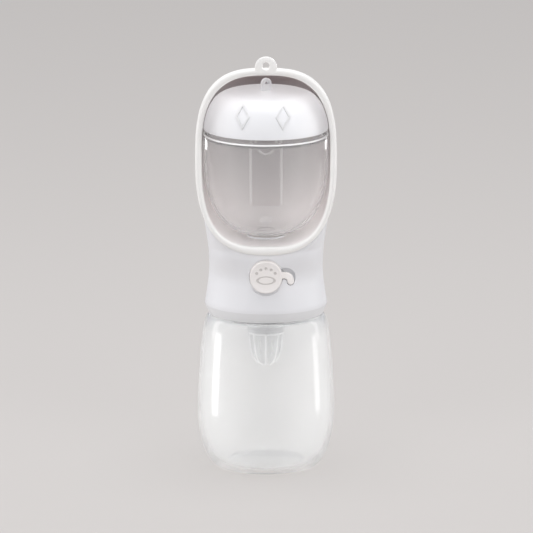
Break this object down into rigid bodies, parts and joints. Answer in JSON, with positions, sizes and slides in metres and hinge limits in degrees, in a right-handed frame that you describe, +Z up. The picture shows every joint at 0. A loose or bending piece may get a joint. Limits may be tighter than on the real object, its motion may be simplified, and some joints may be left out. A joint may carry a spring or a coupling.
{
  "type": "pet travel water bottle",
  "caption": "Portable dog water bottle: clear bottle, screw-on head with drinking trough, lockable push-button valve, hanging loop and lidded food cup kept in the trough",
  "frame": {"origin": "middle of the bottle's foot, on the surface it stands on", "axes": "+Z up along the bottle's axis, -Y is the front with the trough's opening and the button, +X to the right seen from the front"},
  "size_m": [0.081, 0.0786, 0.2443],
  "materials": {
    "clear_bottle": "clear moulded plastic, smooth and glossy",
    "clear_cup": "clear moulded plastic, smooth and glossy",
    "clear_filter": "clear moulded plastic with ribs",
    "white_shell": "satin white moulded plastic",
    "warm_white": "satin warm-white moulded plastic",
    "lid_white": "smooth white moulded plastic",
    "button_white": "satin warm-white moulded plastic",
    "inner_plastic": "plain moulded plastic",
    "soft_seal": "soft grey silicone",
    "steel": "stainless steel",
    "steel_mesh": "fine woven steel mesh"
  },
  "bodies": {
    "bottle": {"bottle": "clear_bottle"},
    "seal_carrier": {"bottle_seal": "soft_seal"},
    "head": {"housing": "white_shell", "rim_band": "warm_white", "valve_carrier": "inner_plastic", "gland_bush": "steel", "rear_plug": "inner_plastic", "outlet_gasket": "soft_seal"},
    "plunger": {"valve_stem": "inner_plastic", "stem_orings": "soft_seal", "valve_washer": "soft_seal", "poppet": "inner_plastic", "return_spring": "steel", "stem_clip": "steel"},
    "button": {"button": "button_white"},
    "filter": {"filter_cap": "clear_filter", "filter_screen": "steel_mesh", "filter_basket": "clear_filter"},
    "cup": {"food_cup": "clear_cup"},
    "lid": {"food_lid": "lid_white", "lid_seal": "soft_seal"}
  },
  "joints": [
    {"name": "head_turn", "type": "hinge", "parent": "bottle", "child": "seal_carrier", "pos_m": [0, 0, 0.1045], "axis": [0, 0, 1], "range_deg": [0, 450]},
    {"name": "head_lift", "type": "slide", "parent": "seal_carrier", "child": "head", "axis": [0, 0, 1], "range_m": [0, 0.06]},
    {"name": "button_press", "type": "slide", "parent": "head", "child": "plunger", "axis": [0, 1, 0], "range_m": [0, 0.003], "stiffness_N_per_m": 400, "springref_m": -0.004, "deforming": ["return_spring"]},
    {"name": "button_turn", "type": "hinge", "parent": "plunger", "child": "button", "pos_m": [0, -0.03, 0.1169], "axis": [0, -1, 0], "range_deg": [0, 15]},
    {"name": "filter_pull", "type": "slide", "parent": "head", "child": "filter", "axis": [0, 0, -1], "range_m": [0, 0.012]},
    {"name": "cup_pull", "type": "slide", "parent": "head", "child": "cup", "axis": [0, -1, 0], "range_m": [0, 0.08]},
    {"name": "lid_turn", "type": "hinge", "parent": "cup", "child": "lid", "pos_m": [0, 0, 0.197], "axis": [0, 0, 1], "range_deg": [0, 90]}
  ]
}
